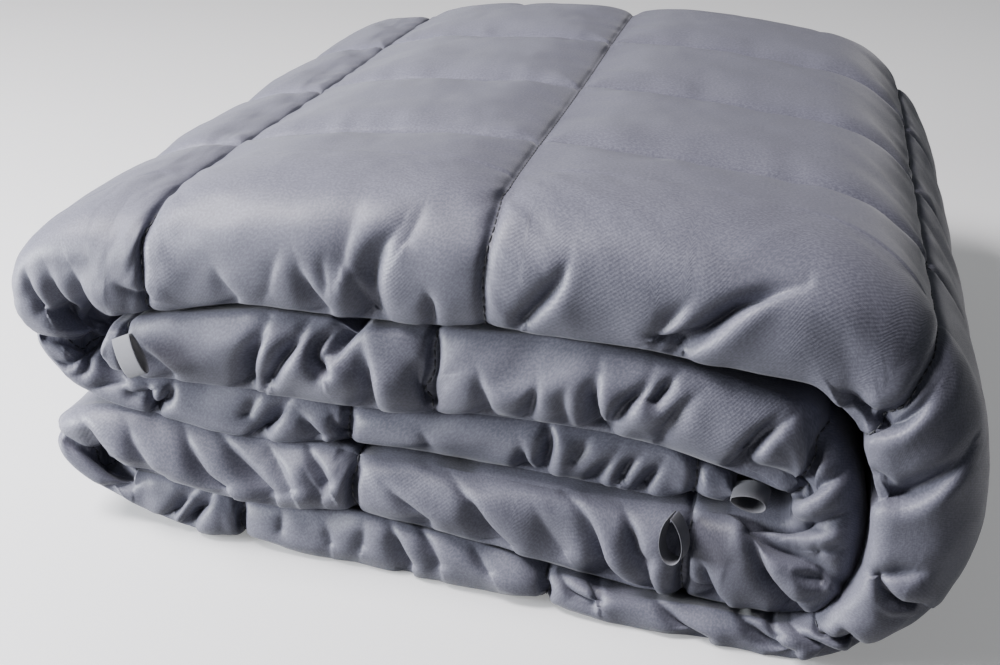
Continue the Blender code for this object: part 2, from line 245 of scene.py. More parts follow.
def ringShares(mesh):
    # for each point of the ring, the segment that it starts and its share of it
    counts = ringCounts(mesh)
    pulls = (mesh["pull"],) * len(mesh["rows"]) + (0, 0, 0)
    segment = np.concatenate([np.full(n, k) for k, n in enumerate(counts)])
    share = np.concatenate([clustered(n, pull)[:-1] for n, pull in zip(counts, pulls)])
    return segment, share


lipAngle = np.linspace(0, math.pi, lip["steps"])
lipAcross = np.sign(np.cos(lipAngle)) * np.abs(np.cos(lipAngle)) ** lip["full"]
lipBulge = np.sin(lipAngle) ** lip["full"]
lipBulge[-1] = 0


def ringPlaces(front, back, depthRight, depthLeft, crest, thick, segment, share):
    # (y, share of the half thickness) around the strip: face, back lip, hidden face, front lip
    stops = [front + depthRight, *rows, back - depthRight]
    y, s = np.zeros(len(share)), np.ones(len(share))
    for k, (start, end) in enumerate(zip(stops, stops[1:])):
        on = segment == k
        y[on] = start + (end - start) * share[on]
    on = segment == hiddenPart
    y[on] = back - depthLeft + (front - back + 2 * depthLeft) * share[on]
    s[on] = -1
    lips = (backLipPart, back, -1, lipAcross), (frontLipPart, front, 1, -lipAcross)
    for part, edge, inward, across in lips:
        depth = np.where(across > 0, depthRight, depthLeft)
        across = crest + across * (1 - crest * np.sign(across))
        curve = edge + inward * depth * (1 - lipBulge)
        far = np.concatenate([[0], np.cumsum(np.hypot(np.diff(curve), np.diff(across) * thick))])
        on = segment == part
        y[on] = np.interp(share[on] * far[-1], far, curve)
        s[on] = np.interp(share[on] * far[-1], far, across)
    return y, s


def inPack(x, y, z):
    front, _, back, *_ = layerEdges["top"]
    share = np.clip((y - front) / (back - front), 0, 1)
    y = y + share**2 * smoothThrough(backEdge, packShare(x)) - pack["skew"] * x
    taper = np.where(x < 0, pack["taperLeft"], pack["taperRight"])
    lower = pack["drop"] * share**3 + pack["sag"] * np.sin(math.pi * share) ** 2
    return np.stack([x * (1 - taper * share), y, z * (1 - lower)], axis=-1)


def gridNormals(points):
    alongU = np.gradient(points, axis=0)
    alongV = (np.roll(points, -1, axis=1) - np.roll(points, 1, axis=1)) / 2
    normal = np.cross(alongV, alongU)
    return normal / np.maximum(length(normal, True), smallest)


class Skin:
    # the blanket's outside as a grid of points: one line of points for each place along the strip
    def __init__(self, strip, cells, mesh):
        self.cells = cells
        self.segment, self.share = ringShares(mesh)
        run, right, left, edges, self.span = strip.at(cells)
        middle, half = (right + left) / 2, (right - left) / 2
        fromEnd = np.minimum(run, strip.whole - run)
        pastHem = easeIn((strip.pastHem(run) - 1) / cloth["hemFade"])
        flat = cloth["hemFlat"] + (1 - cloth["hemFlat"]) * pastHem
        rounded = np.sqrt(1 - np.clip(1 - fromEnd / cloth["endRound"], 0, cloth["endLeast"]) ** 2)
        half = half * (flat * rounded)[:, None]
        points, ys, ss = [], [], []
        for k in range(len(cells)):
            front, lean, back, above, below, _, _, own, ownRight, ownLeft, crest, setBack = edges[k]
            thick = length(half[k])
            up = (1 + half[k, 1] / thick) / 2
            depths = below + (above - below) * up, above + (below - above) * up
            depths = depths[0] * (1 - own) + ownRight * own, depths[1] * (1 - own) + ownLeft * own
            edge = front - lean * middle[k, 0] + setBack * own
            y, s = ringPlaces(edge, back, *depths, crest * own, thick, self.segment, self.share)
            points.append(inPack(middle[k, 0] + s * half[k, 0], y, middle[k, 1] + s * half[k, 1]))
            ys.append(y)
            ss.append(s)
        self.points, self.y, self.s = np.array(points), np.array(ys), np.array(ss)
        self.onFace = self.segment < backLipPart
        self.onBackLip = self.segment == backLipPart
        self.onFrontLip = self.segment == frontLipPart
        self.seamDistance = np.abs(cells - np.round(cells))[:, None] * cloth["cellLong"] + 0 * self.y
        self.rowDistance = np.min([np.abs(self.y - line) for line in rows], axis=0)
        self.normals = gridNormals(self.points)
        sewn = ((cells > 0.5) & (cells < strip.cellCount - 0.5))[:, None]
        faceSeam, self.lipSeam = edges[:, 5:6] * (self.s > 0), edges[:, 6:7]
        self.bulge = np.clip(1 - np.abs(self.s) ** (2 / lip["full"]), 0, 1) ** (lip["full"] / 2)
        along = self.lipSeam * self.bulge + faceSeam * (1 - self.bulge)
        along = along * np.exp(-self.seamDistance / quilting["soft"]) * sewn
        across = faceSeam * np.exp(-self.rowDistance / quilting["soft"]) * self.onFace
        self.push(-np.maximum(along, across))

    def push(self, amount):
        # moves every point out along its own normal
        self.points = self.points + self.normals * amount[..., None]
        self.normals = gridNormals(self.points)


strip = Strip()
coarse = dict(rows=(10, 20, 20, 14), backLip=20, hidden=8, frontLip=20, pull=0, cell=26)
fine = dict(backLip=20, hidden=8, frontLip=120, pull=0.15, cell=150)
pastEnds = 0.05  # how many cells are made past each end of a piece, for even normals
shownRows, plainRows = (16, 30, 30, 24), (4, 6, 6, 4)

# ---- creases of the front, a group for each layer or turn: (deep, wide, lean, points), in millimetres
# and picture pixels, from where a crease fades out to where it is deepest; lean makes it wider to one side
mm = 0.001
creases = dict(top=(
    (3.5, 2.8, 0.35, (22, 262), (28, 285), (42, 309)),
    (4.8, 4, 0.45, (46, 266), (52, 284), (62, 300), (76, 315)),
    (6.2, 3.8, 0.45, (71, 268), (80, 288), (91, 304), (102, 315)),
    (2.4, 3, 0.3, (110, 280), (124, 290), (146, 297)),
    (2.2, 3.6, 0.5, (212, 264), (221, 283), (236, 300)),
    (0.8, 3.6, 0.2, (281, 246), (272, 270), (268, 292)),
    (4.2, 3.8, 0.5, (296, 258), (300, 275), (311, 294), (328, 312)),
    (0.9, 3, 0.3, (323, 250), (320, 266), (326, 288)),
    (1.6, 7.2, 0.2, (368, 188), (354, 217), (345, 245), (341, 264)),
    (2.8, 3.6, 0.5, (352, 274), (359, 294), (372, 316)),
    (5.4, 6, 0.25, (402, 220), (386, 241), (377, 266), (375, 290), (381, 318)),
    (1.2, 5.6, 0.2, (430, 196), (418, 220), (407, 241)),
    (3.2, 3.2, 0.2, (426, 288), (431, 304), (434, 322)),
    (4.6, 4.2, 0.35, (570, 256), (561, 282), (546, 302), (526, 324)),
    (3.4, 3.8, 0.2, (692, 298), (673, 318), (652, 338)),
    (4.6, 2.6, -0.35, (706, 327), (690, 333), (676, 339), (658, 343)),
    (8, 4.2, 0.4, (808, 283), (772, 295), (740, 312), (708, 337), (683, 353)),
), second=(
    (3, 3.6, 0.3, (138, 342), (152, 358), (172, 378)),
    (8, 4.2, 0.4, (270, 318), (258, 342), (251, 365), (250, 394)),
    (6, 3.6, 0.35, (311, 320), (296, 342), (282, 364), (273, 382)),
    (5.6, 3, 0.2, (338, 324), (321, 342), (315, 358), (320, 374)),
    (3, 2.2, 0, (334, 350), (324, 360), (326, 374)),
    (8, 4.6, -0.4, (328, 366), (346, 340), (366, 316)),
    (5.8, 4.6, 0.4, (366, 336), (365, 360), (369, 388), (374, 416)),
    (2.4, 4.2, 0.2, (424, 352), (420, 380), (432, 404)),
    (3.6, 4.4, 0.35, (478, 370), (481, 392), (490, 416)),
    (3.6, 3, 0.3, (537, 382), (534, 402), (529, 421)),
    (2.2, 3.4, 0.2, (567, 384), (562, 405), (567, 426)),
    (7.8, 4.2, 0.45, (600, 370), (594, 392), (596, 412), (602, 436)),
    (5.6, 3.4, 0.25, (654, 370), (644, 388), (629, 406), (610, 434)),
    (4.2, 3.2, 0, (679, 372), (666, 388), (654, 402)),
    (2.8, 4.2, -0.2, (702, 390), (682, 408), (662, 434)),
    (5.8, 3.4, 0.3, (797, 412), (776, 430), (756, 450), (736, 476)),
    (2.4, 2.2, 0.2, (784, 410), (766, 428), (746, 448)),
), uTurn=(
    (8, 4.8, 0.45, (851, 459), (844, 472), (826, 486), (800, 495), (778, 488), (758, 482), (742, 477)),
    (3.6, 4, 0.2, (858, 502), (848, 512), (832, 522), (806, 532)),
    (6.4, 4.2, 0.45, (842, 528), (822, 534), (800, 533), (775, 528), (750, 521)),
    (2.2, 3.4, 0.2, (856, 544), (838, 551), (820, 553)),
    (7.2, 4.4, 0.45, (860, 593), (845, 586), (822, 573), (795, 562), (768, 550), (748, 532)),
    (4.4, 3.2, -0.3, (788, 569), (804, 579), (820, 584)),
    (1.6, 2.8, 0, (828, 590), (816, 597), (800, 600)),
), third=(
    (6, 3.2, -0.4, (36, 306), (54, 317), (78, 323), (99, 324)),
    (2, 3, 0.3, (34, 332), (56, 338), (78, 338), (98, 335)),
    (4, 3.4, -0.3, (42, 352), (66, 366), (84, 352), (97, 338)),
    (4, 3, -0.2, (70, 378), (86, 372), (92, 356), (101, 346)),
    (2.6, 3, -0.2, (84, 390), (104, 386), (122, 380)),
    (2.6, 2.6, 0.2, (120, 386), (132, 394), (146, 391)),
    (3.6, 2.6, 0.1, (150, 384), (149, 396), (153, 406)),
    (5.6, 2.8, -0.2, (173, 381), (168, 396), (156, 410)),
    (2.4, 3.6, 0, (264, 392), (252, 402), (246, 414)),
    (7.4, 4, 0.3, (294, 396), (279, 412), (268, 428), (261, 440)),
    (3.6, 3.4, 0.35, (300, 412), (309, 426), (320, 438)),
    (2.2, 3, 0.2, (332, 412), (336, 424), (346, 436)),
    (1.2, 4, 0, (420, 428), (428, 448)),
    (5.2, 3.4, 0.35, (521, 442), (523, 460), (532, 480)),
    (7, 3.6, 0.3, (549, 416), (550, 444), (544, 478)),
    (2.4, 3.6, 0, (590, 436), (582, 450), (574, 462)),
    (4.8, 3.4, 0.3, (619, 450), (604, 470), (592, 488), (582, 502)),
    (3.6, 3, 0.2, (642, 455), (629, 468), (622, 480)),
    (5.4, 3.2, 0.3, (664, 462), (650, 482), (637, 504)),
), fourth=(
    (6.4, 3.6, 0.45, (79, 410), (86, 430), (102, 450), (122, 468), (144, 479)),
    (3.2, 4.2, 0.3, (127, 422), (133, 445), (146, 465), (162, 479)),
    (3.8, 4, 0.3, (184, 422), (190, 448), (204, 474), (222, 489)),
    (4.8, 4.6, 0.3, (215, 424), (232, 448), (250, 472), (271, 497)),
    (2.4, 4, 0.3, (262, 434), (276, 458), (291, 490)),
    (4.4, 3.6, 0.3, (307, 438), (314, 458), (327, 484)),
    (1.8, 3.6, 0.2, (300, 460), (308, 480), (320, 500)),
    (3.4, 3.6, 0.3, (384, 484), (402, 504), (428, 524)),
    (5, 4.2, 0.35, (452, 474), (470, 504), (486, 528), (508, 550)),
    (1.4, 5, 0.2, (530, 500), (544, 526), (562, 552)),
    (7.6, 4.2, 0.4, (566, 492), (582, 512), (595, 540), (604, 566), (622, 584), (650, 598)),
    (5.2, 4, 0.2, (624, 506), (631, 528), (637, 552), (644, 564)),
    (3.4, 3, 0.2, (653, 556), (650, 576), (658, 598)),
    (4, 2.8, 0.3, (684, 574), (699, 591), (724, 603)),
    (4.8, 3.4, 0.35, (698, 556), (706, 576), (718, 598)),
    (7, 3.8, 0.35, (741, 512), (752, 548), (770, 582), (804, 618)),
), bottom=(
    (2.6, 3, 0.2, (146, 480), (130, 488), (108, 490)),
    (5.2, 3.4, 0.3, (201, 486), (184, 498), (171, 516)),
    (8.4, 3.8, 0.2, (219, 486), (204, 504), (192, 522), (188, 538)),
    (1.4, 3.6, 0, (282, 508), (280, 530)),
    (1.8, 3.6, 0.2, (326, 522), (330, 544)),
    (1.8, 4, 0.2, (364, 520), (362, 546)),
    (4.8, 3.8, 0.35, (390, 520), (396, 542), (409, 567)),
    (2.8, 3.6, 0.3, (417, 516), (427, 538), (438, 566)),
    (1.6, 4.4, 0.2, (470, 540), (488, 572)),
    (4, 2.6, 0.3, (560, 572), (571, 590), (592, 604)),
    (4.4, 2.6, -0.2, (584, 576), (595, 588), (598, 600)),
    (5, 3.4, 0.35, (650, 592), (664, 606), (684, 626), (706, 641)),
    (5, 3.4, 0.35, (728, 600), (748, 622), (770, 642), (792, 654)),
    (3.4, 2.4, 0.2, (756, 610), (768, 618), (778, 634)),
    (5.2, 3.4, 0.35, (776, 614), (796, 628), (820, 645), (842, 656)),
    (4, 2.8, 0.35, (836, 620), (848, 634), (868, 652)),
), wrap=(
    (8, 4.2, 0.45, (936, 390), (922, 411), (902, 427), (880, 432), (862, 426), (848, 409)),
    (2.8, 2.4, 0.2, (905, 405), (884, 417), (862, 416)),
    (8.5, 4.8, 0.45, (974, 444), (956, 472), (930, 492), (900, 503), (868, 498)),
    (2.4, 2.6, 0, (898, 494), (888, 484), (872, 474)),
    (3.4, 3.2, 0.3, (932, 571), (906, 575), (880, 577)),
    (6.6, 3.4, 0.3, (865, 565), (881, 586), (898, 603), (922, 607)),
    (2.6, 3, 0.2, (945, 601), (926, 610), (906, 609)),
    (2.2, 3.6, 0.2, (870, 604), (892, 622), (920, 624)),
))
creaseLayers = dict(  # the stretches of the strip that each group of lines may reach
    top=("top", "top-third"), second=("second", "second-fourth"), uTurn=("second-fourth", "second", "fourth"),
    third=("third", "top-third"), fourth=("fourth", "second-fourth", "fourth-bottom"),
    bottom=("bottom", "fourth-bottom", "bottom-top"), wrap=("bottom-top", "top", "bottom"),
)
creaseShape = dict(wider=0.8, lopsided=0.9, narrowest=0.0016, sharp=1.45, fade=0.7, slim=0.6, shallow=0.08,
                   margin=7, ridge=0.18, ridgeLeast=0.02, ridgeMost=0.5, oneSided=0.4, crest=1.9, pinch=0.5,
                   pinchWide=1.6, pinchMost=0.8, over=0.3, dipAtEdge=0.5, turned=0.2, appears=0.35,
                   edgeOn=0.3, slideMost=0.005)


def cubicWeights(t):
    first, last = ((2 - t) * t - 1) * t, (t - 1) * t * t
    return np.stack([first, (3 * t - 5) * t * t + 2, ((4 - 3 * t) * t + 1) * t, last]) / 2


def smoothLine(corners, steps=4):
    # a smooth curve through a crease's points
    corners = np.array(corners, float)
    ends = np.concatenate([[2 * corners[0] - corners[1]], corners, [2 * corners[-1] - corners[-2]]])
    curve = []
    for k in range(1, len(ends) - 2):
        for weights in cubicWeights(np.arange(steps) / steps).T:
            curve.append(weights @ ends[k - 1:k + 3])
    return np.array(curve + [corners[-1]])


def foldShape(where, size, lines):
    # how far points near the creases go out, and how far each shifts towards its line to sharpen it
    shape = creaseShape
    push, shift = np.zeros(len(where)), np.zeros((len(where), 2))
    for deep, wide, lean, *corners in lines:
        deep, wide, corners = deep * mm, wide * mm, smoothLine(corners)
        margin = wide * shape["margin"] / size.min()
        near = ((where > corners.min(axis=0) - margin) & (where < corners.max(axis=0) + margin)).all(axis=1)
        spots, spotSize = where[near], size[near]
        steps = length(np.diff(corners, axis=0))
        nearest, before = np.full(len(spots), np.inf), 0
        away, signed, reached = np.zeros((len(spots), 2)), np.zeros(len(spots)), np.zeros(len(spots))
        for start, end, step in zip(corners, corners[1:], steps):
            along = (end - start) / step
            t = np.clip((spots - start) @ along, 0, step)
            apart = spots - start - t[:, None] * along
            distance = length(apart)
            closer = distance < nearest
            nearest[closer], away[closer] = distance[closer], apart[closer]
            reached[closer] = before + t[closer]
            signed[closer] = (along[0] * apart[:, 1] - along[1] * apart[:, 0])[closer]
            before += step
        gentle = shape["lopsided"] * lean * np.sign(signed)  # above 0 on the side that comes up slowly
        grown = easeIn(reached / (shape["fade"] * before))
        wide = wide * shape["wider"] * (shape["slim"] + (1 - shape["slim"]) * grown)
        deep = deep * (shape["shallow"] + (1 - shape["shallow"]) * grown)
        a = nearest * spotSize / np.maximum(wide * (1 + gentle), shape["narrowest"])
        top = a / shape["crest"]
        ridge = np.clip(shape["ridge"] - gentle * shape["oneSided"], shape["ridgeLeast"], shape["ridgeMost"])
        ridge = ridge * top**2 * np.exp(2 - 2 * top)
        push[near] += deep * (ridge - np.exp(-a ** (shape["sharp"] + gentle)))
        pinch = shape["pinch"] * (0.5 - gentle) * np.exp(-(a / shape["pinchWide"]) ** 2) * grown
        pinch = pinch + shape["over"] * ridge * deep / np.maximum(nearest * spotSize, smallest)
        shift[near] -= away * np.minimum(pinch, shape["pinchMost"])[:, None]
    return push, shift


def creasePush(skin, centre):
    # the creases that the camera sees: moves the skin's points in or out, and sideways to the creases' lines
    shape = creaseShape
    right, up, _ = (np.array(axis) for axis in shotAxes())
    toCamera = np.array(shot["place"]) - centre - skin.points
    toCamera /= length(toCamera, True)
    facing = (toCamera * skin.normals).sum(axis=2)
    pixels, pixelSize = inPicture(skin.points + centre)
    amount, slide = np.zeros(facing.shape), np.zeros(skin.points.shape)
    for layer, lines in creases.items():
        spans = [strip.labels.index(label) for label in creaseLayers[layer]]
        picked = np.isin(skin.span, spans)[:, None] & (facing > -shape["turned"])
        picked &= skin.onFrontLip | (skin.onFace & (layer in ("top", "wrap")))
        if not picked.any():
            continue
        push, shift = foldShape(pixels[picked], pixelSize[picked], lines)
        inner = np.where(skin.onFace, 1, skin.bulge)[picked]
        edge = np.where(push > 0, inner, shape["dipAtEdge"] + (1 - shape["dipAtEdge"]) * inner)
        seen = easeIn((facing[picked] + shape["turned"]) / shape["appears"])
        amount[picked] += push * edge * seen
        world = (right * shift[:, :1] - up * shift[:, 1:]) * pixelSize[picked][:, None]
        normal, view = skin.normals[picked], toCamera[picked]
        along = (world * normal).sum(axis=1) / np.maximum(facing[picked], shape["edgeOn"])
        world = world - view * along[:, None]
        far = length(world)
        world *= (np.minimum(far, shape["slideMost"]) / np.maximum(far, smallest) * seen * inner)[:, None]
        slide[picked] += world
    skin.points = skin.points + slide
    skin.push(amount)


# ---- small unevenness, from seeded tables
tableLines, tableLong = 64, 512
randomTable = np.random.default_rng(7).uniform(-1, 1, (tableLines, tableLong))


def wander(x, line):
    # a smooth random value along x, a new one each 1, and another course of them for each line
    low = np.floor(x).astype(int)
    near, after = (randomTable[line % tableLines, (low + k) % tableLong] for k in (0, 1))
    return near + (after - near) * easeIn(x - low)


def unevenness(u, v, seed):
    lowU, lowV = np.floor(u).astype(int), np.floor(v).astype(int)
    tu, tv = easeIn(u - lowU), easeIn(v - lowV)

    def corner(i, j):
        return randomTable[(lowU + i + seed) % tableLines, (lowV + j + 31 * seed) % tableLong]

    near = corner(0, 0) * (1 - tu) + corner(1, 0) * tu
    return near * (1 - tv) + (corner(0, 1) * (1 - tu) + corner(1, 1) * tu) * tv


# ---- folds of the back lips: seeded ones, as uneven as those in front
backFolds = dict(perCell=4.5, deep=(0.0012, 0.0042), wide=(0.0026, 0.0050), reach=(-0.7, 1.7), fade=0.9,
                 slant=0.01, lean=0.5, sharp=1.4, deepest=0.005)


def within(limits, share):
    return limits[0] + (limits[1] - limits[0]) * share


def foldBack(skin):
    count = int(backFolds["perCell"] * strip.cellCount)
    amount = np.zeros(skin.y.shape)
    for place, deep, wide, slant, lean, reach in np.random.default_rng(11).uniform(0, 1, (count, 6)):
        way = (skin.cells[:, None] - place * strip.cellCount) * cloth["cellLong"]
        way = way - backFolds["slant"] * (slant - 0.5) * skin.s
        gentle = backFolds["lean"] * (2 * lean - 1) * np.sign(way)
        wide = within(backFolds["wide"], wide) * (1 + gentle)
        trough = np.exp(-(np.abs(way) / wide) ** backFolds["sharp"])
        fade = easeIn((within(backFolds["reach"], reach) + np.sign(slant - 0.5) * skin.s) / backFolds["fade"])
        amount -= within(backFolds["deep"], deep**2) * trough * fade
    skin.push(np.maximum(amount, -backFolds["deepest"]) * skin.bulge * skin.onBackLip)


# ---- the filling swells the skin between the seams
swelling = dict(evened=2, frames=20, capFace=0.0026, capLip=0.0032, heldBeside=0.002, faceFrom=4, faceTo=13)
fabric = dict(quality=4, mass=0.3, tension_stiffness=12, compression_stiffness=12, shear_stiffness=4,
              bending_stiffness=2.0, use_pressure=True, uniform_pressure_force=4.0, shrink_min=-0.012)


def tubeFaces(lineCount, ringCount, atStart=True, atEnd=True):
    # the faces between lines of points that each run round, with the ends closed where asked
    i, j = np.meshgrid(np.arange(lineCount - 1), np.arange(ringCount), indexing="ij")
    after = (j + 1) % ringCount
    corners = i * ringCount + j, i * ringCount + after, (i + 1) * ringCount + after, (i + 1) * ringCount + j
    faces = np.stack(corners, axis=-1).reshape(-1, 4).tolist()
    if atStart:
        faces.append(list(range(ringCount))[::-1])
    if atEnd:
        faces.append(list(range((lineCount - 1) * ringCount, lineCount * ringCount)))
    return faces


def addMesh(name, points, faces, flat=None):
    data = bpy.data.meshes.new(name)
    data.from_pydata(points, [], faces)
    if flat is not None:
        data.uv_layers.new(name="cloth").data.foreach_set("uv", flat.reshape(-1))
    data.shade_smooth()
    return addObject(name, data)


def swell(skin):
    # runs the cloth simulation on a copy of the skin and returns how far each point went
    obj = addMesh("swelling_skin", skin.points.reshape(-1, 3), tubeFaces(*skin.points.shape[:2]))
    shownFace = (skin.cells > swelling["faceFrom"]) & (skin.cells < swelling["faceTo"])
    free = (skin.onFrontLip | skin.onBackLip)[None, :] | (skin.onFace[None, :] & shownFace[:, None])
    free &= (skin.seamDistance > swelling["heldBeside"])
    free &= ~(skin.onFace[None, :] & (skin.rowDistance < swelling["heldBeside"]))
    held = obj.vertex_groups.new(name="held")
    held.add(np.flatnonzero(~free.reshape(-1)).tolist(), 1.0, "REPLACE")
    modifier = obj.modifiers.new("cloth", "CLOTH")
    for name, value in fabric.items():
        setattr(modifier.settings, name, value)
    modifier.settings.vertex_group_mass = "held"
    modifier.settings.effector_weights.gravity = 0
    modifier.collision_settings.use_collision = False
    scene = bpy.context.scene
    for number in range(1, swelling["frames"] + 1):
        scene.frame_set(number)
    evaluated = obj.evaluated_get(bpy.context.evaluated_depsgraph_get())
    moved = np.empty(skin.points.size, np.float32)
    evaluated.data.vertices.foreach_get("co", moved)
    scene.frame_set(1)
    bpy.data.objects.remove(obj)
    went = moved.reshape(skin.points.shape) - skin.points
    far = length(went, True)
    print("swelling: largest", np.round(far.max(), 4), "mean", np.round(far[free].mean(), 4))
    cap = np.where(skin.onFace, swelling["capFace"], swelling["capLip"])[None, :, None]
    went = went * cap * np.tanh(far / cap) / np.maximum(far, smallest)
    for _ in range(swelling["evened"]):
        inner = went[1:-1] * 0.5 + (went[:-2] + went[2:]) * 0.25
        went[1:-1] = np.where(free[1:-1, :, None], inner, went[1:-1])
        across = went * 0.5 + (np.roll(went, 1, axis=1) + np.roll(went, -1, axis=1)) * 0.25
        went = np.where(free[..., None], across, went)
    return went


def between(field, cells, segment, share, mesh):
    # the coarse grid's field read smoothly at the points of a finer one
    counts = np.array(ringCounts(mesh))
    first = np.concatenate([[0], np.cumsum(counts)])[:-1]
    u, v = cells * mesh["cell"], first[segment] + share * counts[segment]
    lowU, lowV = np.minimum(np.floor(u).astype(int), len(field) - 2), np.floor(v).astype(int)
    weightU, weightV = cubicWeights(u - lowU), cubicWeights(v - lowV)
    last = len(field) - 1
    alongU = sum(weightU[k][:, None, None] * field[np.clip(lowU + k - 1, 0, last)] for k in range(4))
    return sum(weightV[k][None, :, None] * alongU[:, (lowV + k - 1) % field.shape[1]] for k in range(4))


coarseCells = np.arange(strip.cellCount * coarse["cell"] + 1) / coarse["cell"]
coarseSkin = Skin(strip, coarseCells, coarse)
low, high = (np.array(corner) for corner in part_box("blanket"))
lowest, highest = coarseSkin.points.min(axis=(0, 1)), coarseSkin.points.max(axis=(0, 1))
centre = (low + high) / 2 - (lowest + highest) / 2
centre[2] = 0
print("skin", coarseSkin.points.shape[:2], "centre", np.round(centre, 4))
swollen = swell(coarseSkin)
print("filling done")

# ---- the sewn lines: a narrow dip with the cloth gathered a little beside it
sewing = dict(waver=0.0010, waverPitch=0.010, waverReach=0.012, lipDip=0.5, lipDipWide=0.0020,
              dip=0.0013, dipWide=0.0013, gather=0.0007, gatherPitch=0.0075, gatherReach=0.011,
              gatherFrom=0.0015, hemReach=0.011, calm=0.012, soft=0.0005, softSize=0.022, fine=0.00016,
              fineSize=0.007)


def ringWays(skin):
    # how far each point lies round the strip
    return np.cumsum(length(np.diff(skin.points, axis=1, prepend=skin.points[:, :1])), axis=1)


def sewnPush(skin, run):
    y, cells, ringWay = skin.y, skin.cells[:, None], ringWays(skin)
    seamNumber = np.round(cells).astype(int)
    side = seamNumber * 2 + (cells > seamNumber)
    hemDistance = np.abs(strip.pastHem(run) - 1)[:, None] * sewing["hemReach"] + 0 * y
    seam = np.where((cells < 0.5) | (cells > strip.cellCount - 0.5), hemDistance, skin.seamDistance)
    rowAway = np.where(skin.onFace, skin.rowDistance, 1)
    push = -sewing["dip"] * np.exp(-np.minimum(seam, rowAway) / sewing["dipWide"])

    onLip = skin.lipSeam * skin.bulge * skin.onFrontLip
    push -= sewing["lipDip"] * onLip * np.exp(-(seam / sewing["lipDipWide"]) ** 2)

    def gathers(distance, along, line):
        shape = np.exp(-distance / sewing["gatherReach"]) * (1 - np.exp(-distance / sewing["gatherFrom"]))
        return sewing["gather"] * shape * wander(along / sewing["gatherPitch"], line)

    push += gathers(seam, ringWay + 0.3 * skin.seamDistance, side + 0 * y.astype(int))
    rowNumber = np.argmin([np.abs(y - line) for line in rows], axis=0)
    rowSide = rowNumber * 2 + (y > np.array(rows)[rowNumber]) + 40
    push += gathers(rowAway, cells * cloth["cellLong"] + 0 * y, rowSide)
    away = np.minimum(np.minimum(seam, rowAway) / sewing["calm"], 1)
    for size, seed in (("soft", 3), ("fine", 11)):
        u, v = (way / sewing[size + "Size"] for way in (cells * cloth["cellLong"] + 0 * y, ringWay))
        push += away * sewing[size] * unevenness(u, v, seed)
    return push, ringWay


def waver(skin):
    # the sewn seams don't run quite straight
    along = np.gradient(skin.points, axis=0)
    step = length(along)
    along /= np.maximum(step, smallest)[..., None]
    room = np.clip(step / np.median(step), 0, 1) ** 2  # less of it where the cloth bunches inside a turn
    number = np.round(skin.cells).astype(int)[:, None] + 0 * skin.y.astype(int)
    amount = sewing["waver"] * room * wander(ringWays(skin) / sewing["waverPitch"], number)
    amount = amount * skin.onFrontLip * skin.bulge
    amount = amount * np.exp(-skin.seamDistance / sewing["waverReach"])
    skin.points = skin.points + along * amount[..., None]
    skin.normals = gridNormals(skin.points)


def stationCells(first, last, count, pull):
    return np.concatenate([*[k + clustered(count, pull)[:-1] for k in range(first, last)], [last]])


def skinPiece(name, first, last, faceRows):
    # one stretch of the blanket's outside, from one sewn seam to another
    mesh = dict(fine, rows=faceRows)
    wider = stationCells(max(first - 1, 0), min(last + 1, strip.cellCount), fine["cell"], fine["pull"])
    near = wider[(wider > first - pastEnds) & (wider < last + pastEnds)]
    skin = Skin(strip, near, mesh)
    skin.points = skin.points + between(swollen, near, skin.segment, skin.share, coarse)
    waver(skin)
    foldBack(skin)
    even = skin.normals
    creasePush(skin, centre)
    skin.normals = even  # the stitching pulls straight in, whatever the creases do
    sewn, ringWay = sewnPush(skin, strip.at(near)[0])
    skin.push(sewn)
    kept = (near >= first) & (near <= last)
    points, normals, cells = skin.points[kept] + centre, skin.normals[kept], near[kept]
    points[..., 2] = np.maximum(points[..., 2], floorGap)
    lineCount, ringCount = points.shape[:2]
    ends = first == 0, last == strip.cellCount
    way = ringWay[kept]
    way = np.concatenate([way, way[:, -1:] + length(points[:, -1:] - points[:, :1])], axis=1)
    i, j = np.divmod(np.arange((lineCount - 1) * ringCount), ringCount)
    u = np.stack([cells[i], cells[i], cells[i + 1], cells[i + 1]], axis=1) * cloth["cellLong"]
    v = np.stack([way[i, j], way[i, j + 1], way[i + 1, j + 1], way[i + 1, j]], axis=1)
    flat = np.stack([u, v], axis=-1).reshape(-1, 2)
    flat = np.concatenate([flat, *[points[line, :, 1:] for line, on in zip((0, -1), ends) if on]])
    obj = addMesh(name, points.reshape(-1, 3).tolist(), tubeFaces(lineCount, ringCount, *ends), flat)
    print(name, lineCount, "x", ringCount)
    return dict(obj=obj, points=points, normals=normals, cells=cells, segment=skin.segment, share=skin.share,
                rowsSewn=faceRows is shownRows)


skinPieces = [
    skinPiece("quilt_first_end", 0, 2, plainRows),
    skinPiece("quilt_inner_turn", 2, 4, plainRows),
    skinPiece("quilt_left_turn", 4, 6, shownRows),
    skinPiece("quilt_underside", 6, 7, plainRows),
    skinPiece("quilt_right_wrap", 7, 9, shownRows),
    skinPiece("quilt_top", 9, 11, shownRows),
    skinPiece("quilt_tucked_turn", 11, 13, shownRows),
    skinPiece("quilt_tucked_end", 13, 14, plainRows),
]

# ---- thread: short stitches in every sewn line that shows, on the lip alone for the cells that lie inside
thread = dict(pitch=0.0036, long=0.0028, thick=0.00034, sides=5, raised=0.00025, faceFrom=4, faceTo=12.5,
              along=(-0.5, -0.3, 0.3, 0.5), swell=(0.5, 1, 1, 0.5), lift=(-0.5, 0.4, 0.4, -0.5))


